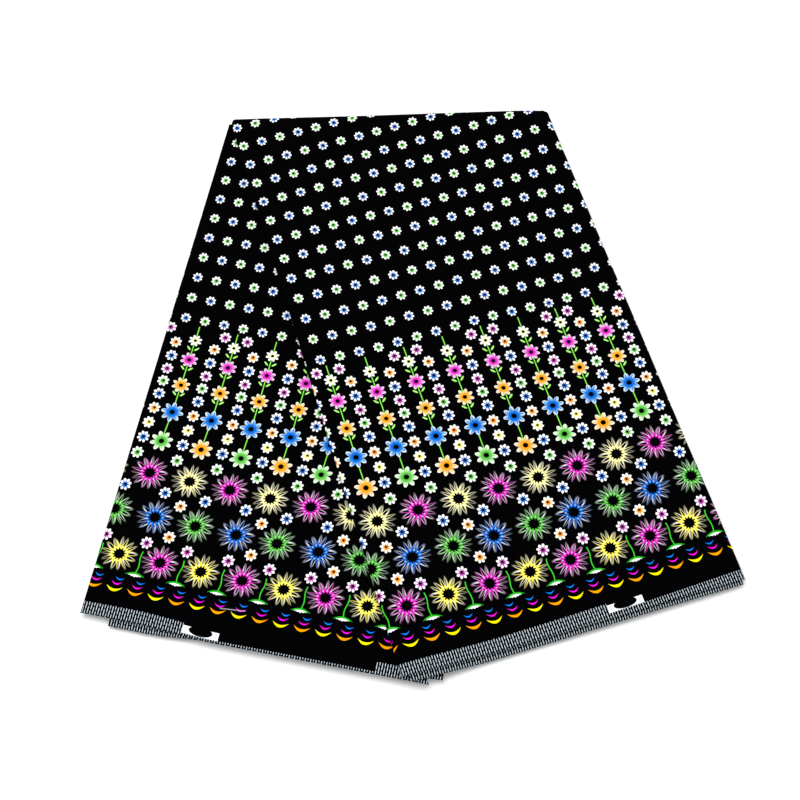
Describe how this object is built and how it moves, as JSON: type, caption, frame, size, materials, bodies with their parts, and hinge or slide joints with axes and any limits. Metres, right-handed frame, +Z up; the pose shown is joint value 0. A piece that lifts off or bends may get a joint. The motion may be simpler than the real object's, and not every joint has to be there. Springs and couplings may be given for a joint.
{
  "type": "folded batik fabric",
  "caption": "Printed cotton cloth, folded at mid-width, pleated and fanned out flat, with its top folded over and its selvedges at the foot.",
  "frame": {"origin": "under the middle of the cloth's box, on the surface it lies on", "axes": "+X to the right of the cloth as it is read, +Y from the selvedges to the top fold, +Z up from the surface"},
  "size_m": [0.5499, 0.5765, 0.0168],
  "materials": {
    "printed_cotton": "waxed plain-weave cotton with a soft sheen, printed with bright flowers on black"
  },
  "bodies": {
    "root": {"folded_layers": "printed_cotton", "left_panel": "printed_cotton", "left_under_ply": "printed_cotton", "right_panel": "printed_cotton", "right_under_ply": "printed_cotton"}
  },
  "joints": []
}
